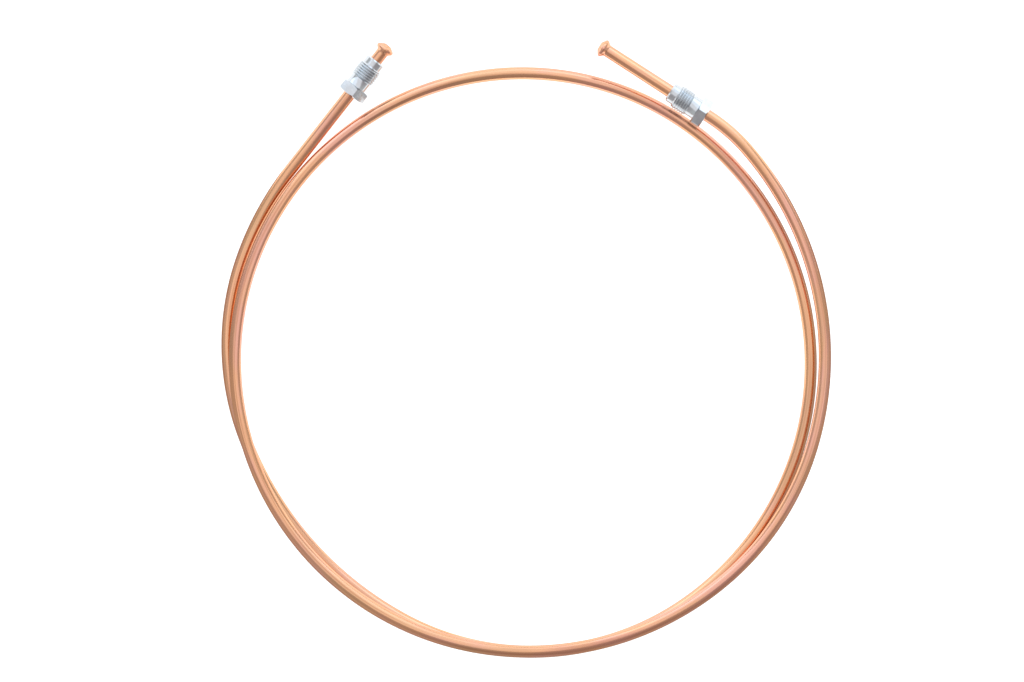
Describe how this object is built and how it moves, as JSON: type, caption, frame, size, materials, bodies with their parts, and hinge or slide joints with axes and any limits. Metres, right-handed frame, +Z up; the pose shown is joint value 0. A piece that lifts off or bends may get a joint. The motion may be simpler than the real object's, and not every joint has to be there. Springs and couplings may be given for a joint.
{
  "type": "coiled copper pressure line",
  "caption": "Copper pressure tube lying in a flat coil, flared at its ends, with a captive hexagon tube nut on each straight end.",
  "frame": {"origin": "middle of the overall outline seen from above, on the floor that the coil lies on", "axes": "+Z up off the floor; +Y is the top edge of the picture, the side where both ends of the tube are; +X its right-hand edge"},
  "size_m": [0.2335, 0.2366, 0.0146],
  "materials": {
    "copper": "bright drawn copper",
    "zinc_plated_steel": "blue-white zinc plating"
  },
  "bodies": {
    "tube": {"copper_tube": "copper"},
    "left_nut": {"tube_nut_left": "zinc_plated_steel"},
    "right_nut": {"tube_nut_right": "zinc_plated_steel"}
  },
  "joints": [
    {"name": "left_nut_spin", "type": "hinge", "parent": "tube", "child": "left_nut", "pos_m": [-0.06106, 0.10593, 0.00757], "axis": [-0.6169, -0.7832, -0.0769], "continuous": true},
    {"name": "right_nut_spin", "type": "hinge", "parent": "tube", "child": "right_nut", "pos_m": [0.06015, 0.0955, 0.00845], "axis": [0.84, -0.5419, -0.0273], "continuous": true}
  ]
}
